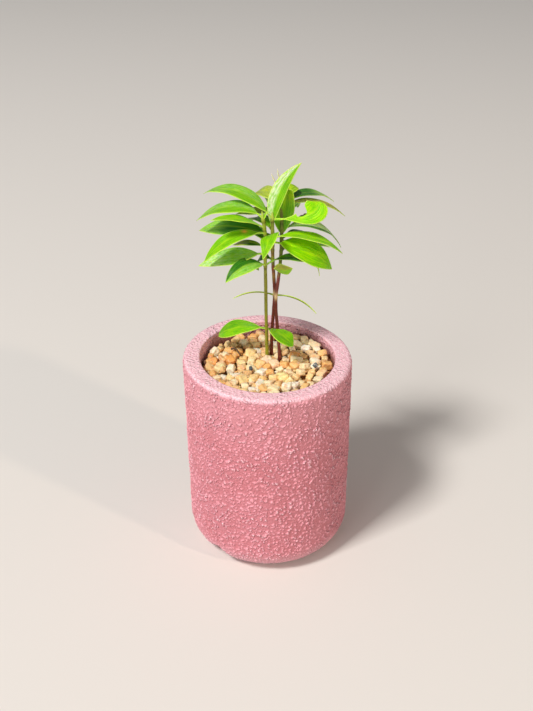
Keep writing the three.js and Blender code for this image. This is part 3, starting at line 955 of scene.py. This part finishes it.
def tube(path, radii, sides):
    """Points and quads of a closed tube along a path."""
    points = []
    for i, centre in enumerate(path):
        ahead = (path[min(i + 1, len(path) - 1)] - path[max(i - 1, 0)]).normalized()
        side = ahead.cross(Vector((0, 1, 0.01))).normalized()
        over = side.cross(ahead)
        for j in range(sides):
            turn = 2 * pi * j / sides
            points.append(centre + (side * cos(turn) + over * sin(turn)) * radii[i][j])
    return points, closed_faces(len(path), sides)


def build_twig(material):
    """A bit of dark twig lying on the gravel."""
    route = [Vector(point) * MM for point in TWIG]
    path = smooth_path(route, path_headings(route), TWIG_STEPS)
    radii = []
    for i, centre in enumerate(path):
        taper = 1 - 0.5 * i / len(path)
        lumps = [noise.noise(centre / (0.8 * MM) + Vector((0, 0, j))) for j in range(TWIG_SIDES)]
        radii.append([TWIG_RADIUS * taper * (1 + 0.3 * lump) for lump in lumps])
    points, faces = tube(path, radii, TWIG_SIDES)
    add_piece("gravel_twig", points, faces, material, "gravel", "potting_mix")


def path_headings(points):
    """The direction of a smooth path at each of its points."""
    headings = []
    for i, point in enumerate(points):
        back = point - points[i - 1] if i > 0 else points[1] - point
        on = points[i + 1] - point if i + 1 < len(points) else back
        heading = back / back.length_squared + on / on.length_squared
        headings.append(heading.normalized())
    return headings


def stem_route(name):
    """A stem's smooth way up, with its bud's end."""
    route = [Vector(point) for point in STEMS[name]]
    route[0].z = STEM_BOTTOM
    route = [point * MM for point in route]
    path = smooth_path(route, path_headings(route), STEM_STEPS)
    tip = path[-1]
    ahead = (path[-1] - path[-3]).normalized()
    return path + [tip + ahead * BUD_LENGTH * share for share in BUD_ROWS]


def build_stem(name, material, slot):
    """A stem that is thicker at its foot and a little swollen at each leaf."""
    path = stem_route(name)
    top = STEMS[name][-1][2] * MM
    heights = [spec["height"] * MM for spec in LEAVES[name]]
    radii, look = [], []
    for centre in path:
        above = max(centre.z - BED_TOP, 0)
        flare = max(1 - above / STEM_FOOT_HEIGHT, 0) ** 2
        radius = STEM_RADIUS + (STEM_FOOT_RADIUS - STEM_RADIUS) * flare
        swelling = max(hump(centre.z - height, NODE_LENGTH) for height in heights)
        radius *= 0.96 + NODE_SWELLING * swelling
        beyond = max(centre.z - top, 0) / BUD_LENGTH
        radius *= (1 - beyond**1.6) * 0.85 + 0.15
        joint = max(hump(centre.z - height + JOINT_DROP, JOINT_LENGTH) for height in heights)
        knot = hump(centre.z - KNOT_HEIGHT, KNOT_LENGTH) if name in KNOTTED_STEMS else 0
        bud = min(max((centre.z - top + 1.5 * MM) / (2 * MM), 0), 1)
        row = []
        for j in range(STEM_SIDES):
            turn = 2 * pi * j / STEM_SIDES
            around = Vector((cos(turn), sin(turn), centre.z / (3 * MM)))
            twist = cos(3 * turn + centre.z / (5 * MM))
            row.append(radius * (1 + 0.07 * noise.noise(around * 1.6) + 0.035 * twist))
            look.append((knot, bud, joint))
        radii.append(row)
    points, faces = tube(path, radii, STEM_SIDES)
    node = f"seedling_{name}"
    add_piece(f"{node}_stem", points, faces, material, node, slot, {"stem": look})


def stem_point(name, height):
    """The point of a stem at one height."""
    points = STEMS[name]
    index = next((i for i, point in enumerate(points) if point[2] >= height), len(points) - 1)
    index = max(index, 1)
    low, high = Vector(points[index - 1]), Vector(points[index])
    share = (height - low.z) / (high.z - low.z)
    point = low + (high - low) * share
    return Vector((point.x, point.y, height)) * MM


def walk_leaf(stem, spec):
    """The rib's points, and the blade's heading and side there, from the stem to the tip."""
    compass, rise = spec["compass"], spec["rise"]
    level = cos(rise)
    ahead = Vector((cos(compass) * level, sin(compass) * level, sin(rise)))
    side = Vector((-sin(compass), cos(compass), 0))
    side.rotate(Matrix.Rotation(spec["roll"], 3, ahead))
    centre = stem_point(stem, spec["height"])
    centres, headings, sides = [centre.copy()], [ahead.copy()], [side.copy()]
    bent = 0
    for i in range(1, LEAF_STEPS + 1):
        bend = (i / LEAF_STEPS) ** spec["late"]
        part = (bend - bent) / 2
        bent = bend
        for half in (0, 1):
            ahead.rotate(Matrix.Rotation(spec["droop"] * part, 3, side))
            turn = Matrix.Rotation(spec["curve"] * part, 3, ahead.cross(side))
            ahead.rotate(turn)
            side.rotate(turn)
            if half == 0:
                centre = centre + ahead * (spec["length"] / LEAF_STEPS)
        centres.append(centre.copy())
        headings.append(ahead.copy())
        sides.append(side.copy())
    return centres, headings, sides


def half_width(outline, t, width):
    """Half the blade's width at t, from 0 at the stem to 1 at the tip."""
    along = min(max((t - outline["stalk"]) / (1 - outline["stalk"]), 0), 1)
    bend = log(0.5) / log(outline["widest"])
    share = max(sin(pi * along**bend), 0) ** outline["fullness"]
    stalk = float(1 - smooth_step(t, outline["stalk"], outline["stalk"] + 0.35))
    return max(share * width / 2, STALK_HALF_WIDTH * stalk + 0.02 * MM)


def bite_share(outline, t):
    """How far t is along the bitten stretch, from 0 to 1, and None outside it."""
    start, end, _ = outline.get("bite", (0, 0, 0))
    return (t - start) / (end - start) if start < t < end else None


def bitten(outline, t):
    """How near t is to the middle of the bitten stretch, from 0 to 1."""
    share = bite_share(outline, t)
    return 0 if share is None else sin(pi * share)


def nibbled(outline, t):
    """How much of the bitten half is left at t."""
    share = bite_share(outline, t)
    return 1 if share is None else outline["bite"][2] + NIBBLE * (1 - abs(sin(3 * pi * share)))


def tone_at(spec, t, across):
    """The blade's tone at a point: its half's own, and its tip's towards the end."""
    left = float(smooth_step(across - spec["split"], -0.12, 0.12))
    tone = np.array(spec["left"]) * left + np.array(spec["right"]) * (1 - left)
    if spec["tip"] is not None:
        share = float(smooth_step(t, 0.5, 0.75))
        tone = tone * (1 - share) + np.array(spec["tip"]) * share
    return tone


def blade_rows(stem, spec):
    """Each row of a blade: its place from 0 to 1, its rib's point, its side and its up."""
    centres, headings, sides = walk_leaf(stem, spec)
    path = smooth_path(centres, headings, ROWS_PER_STEP)
    last = len(path) - 1
    for i, centre in enumerate(path):
        t = i / last
        step = min(int(t * LEAF_STEPS), LEAF_STEPS - 1)
        ahead = (path[min(i + 1, last)] - path[max(i - 1, 0)]).normalized()
        side = sides[step].lerp(sides[step + 1], t * LEAF_STEPS - step)
        side = (side - ahead * side.dot(ahead)).normalized()
        yield t, centre, side, ahead.cross(side)


def blade_bend(t, v, phase):
    """How the blade folds up from its rib, drops at its margins and ripples."""
    fold = (sqrt(v * v + 0.01) - 0.1) * sin(FOLD)
    ripple = RIPPLE * v * v * sin(2 * pi * RIPPLES * t + phase + v)
    return fold - MARGIN_DROP * v * v + ripple


def blade_thickness(v, half, taper, stalk):
    """How thick the leaf is: flat with a raised rib, but round where it is all stalk."""
    blade = (1 - abs(v) ** 6) ** (1 / 6) * BLADE_THICKNESS
    rib = RIB_RAISE * hump(v * half, RIB_HALF_WIDTH)
    round_stalk = sqrt(max(1 - v * v, 0)) * STALK_THICKNESS
    return (blade + rib) * taper * (1 - stalk) + round_stalk * stalk


def rust_spot(spec, t, v):
    """How near a point is to the leaf's rust spot, from 0 to 1."""
    if not spec["spot"]:
        return 0
    return hump(t - spec["spot"], SPOT_LENGTH) * hump(v - SPOT_ACROSS, SPOT_WIDTH)


def blade_mesh(stem, spec, phase):
    """One leaf as a closed blade: its points, its faces and what its surface needs to know."""
    outline = spec["outline"]
    slots = np.sin(np.linspace(-1, 1, ACROSS) * pi / 2)
    ring = [(v, 1) for v in slots[::-1]] + [(v, -1) for v in slots[1:-1]]
    points = []
    look = {"blade": [], "tone": [], "side": [], "scar": []}
    for t, centre, side, up in blade_rows(stem, spec):
        half = half_width(outline, t, spec["width"])
        stalk = 1 - float(smooth_step(t, outline["stalk"] * 0.6, outline["stalk"] + 0.12))
        taper = float(1 - smooth_step(t, 0.8, 1) * 0.6)
        for v, face in ring:
            reach = half * (nibbled(outline, t) if v > 0 else 1)
            lift = blade_bend(t, v, phase) * reach * (1 - stalk)
            lift += face * blade_thickness(v, half, taper, stalk) / 2
            points.append(centre + side * (v * reach * cos(FOLD)) + up * lift)
            look["blade"].append((t, v, (1 - abs(v)) * reach / MM))
            look["tone"].append(tone_at(spec, t, v))
            look["side"].append((face * 0.5 + 0.5, rust_spot(spec, t, v), spec["dry"]))
            look["scar"].append((bitten(outline, t) * max(v, 0), 0, 0))
    return points, closed_faces(len(points) // len(ring), len(ring)), look


def build_leaves(name, material, slot):
    """All the leaves of one seedling."""
    points, faces, looks = [], [], {}
    for number, spec in enumerate(LEAVES[name]):
        own_points, own_faces, look = blade_mesh(name, spec, number * RIPPLE_SHIFT)
        start = len(points)
        points += own_points
        faces += [[start + k for k in face] for face in own_faces]
        for key, values in look.items():
            looks.setdefault(key, []).extend(values)
    node = f"seedling_{name}"
    add_piece(f"{node}_leaves", points, faces, material, node, slot, looks)


def build_seedlings():
    """Each seedling's stem in its own bark, and its leaves in one green."""
    stems = {
        "a": ("leaf_olive_stem", stem_bark("olive_bark", (140, 142, 26), (150, 164, 40), 150 * MM)),
        "b": ("leaf_brown_stem", stem_bark("brown_bark", (122, 42, 22), (134, 140, 40), 146 * MM)),
        "c": ("leaf_back", stem_bark("dark_bark", (104, 36, 24), (120, 132, 36), 147 * MM)),
    }
    green = leaf_green()
    for name, (slot, bark) in stems.items():
        build_stem(name, bark, slot)
        build_leaves(name, green, slot)


def add_floor():
    """A plain pale floor."""
    skin = Surface("pale_floor", 0.85)
    skin.set("Base Color", colour(222, 218, 212))
    mesh = bpy.data.meshes.new("floor")
    mesh.from_pydata(FLOOR_CORNERS, [], [(0, 1, 2, 3)])
    mesh.materials.append(skin.material)
    floor = bpy.data.objects.new("floor", mesh)
    bpy.context.scene.collection.objects.link(floor)


def add_light(name, place, size, power, tint):
    """A square soft light at place, turned to the pot."""
    lamp = bpy.data.lights.new(name, "AREA")
    lamp.size = size
    lamp.energy = power
    lamp.color = tint
    light = bpy.data.objects.new(name, lamp)
    light.location = place
    light.rotation_euler = (Vector(LIGHT_AIM) - Vector(place)).to_track_quat("-Z", "Y").to_euler()
    bpy.context.scene.collection.objects.link(light)


def add_lights():
    """A key from the upper left, a soft front fill, a small warm lamp and an even sky."""
    for name, light in LIGHTS.items():
        add_light(name, *light)
    world = bpy.data.worlds.new("sky")
    world.use_nodes = True
    background = world.node_tree.nodes["Background"]
    background.inputs["Color"].default_value = SKY_COLOUR
    background.inputs["Strength"].default_value = SKY_STRENGTH
    bpy.context.scene.world = world
    bpy.context.scene.view_settings.view_transform = "Standard"


def add_camera():
    """The camera that took the photograph."""
    lens = bpy.data.cameras.new("camera")
    lens.sensor_width = SENSOR
    lens.lens = FOCAL_PIXELS * SENSOR / max(IMAGE_WIDTH, IMAGE_HEIGHT)
    camera = bpy.data.objects.new("camera", lens)
    tilt = Matrix.Rotation(pi / 2 - CAMERA_DOWN, 4, "X")
    roll = Matrix.Rotation(CAMERA_ROLL, 4, "Z")
    camera.matrix_world = Matrix.Translation(CAMERA_PLACE) @ tilt @ roll
    bpy.context.scene.collection.objects.link(camera)
    bpy.context.scene.camera = camera


add_camera()
add_floor()
add_lights()
build_pot(pink_grit())
build_gravel(yellow_gravel(), dust_and_gap_shade())
build_twig(twig_bark())
build_seedlings()
soil_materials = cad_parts["soil"].data.materials
soil_materials.clear()
soil_materials.append(potting_mix())
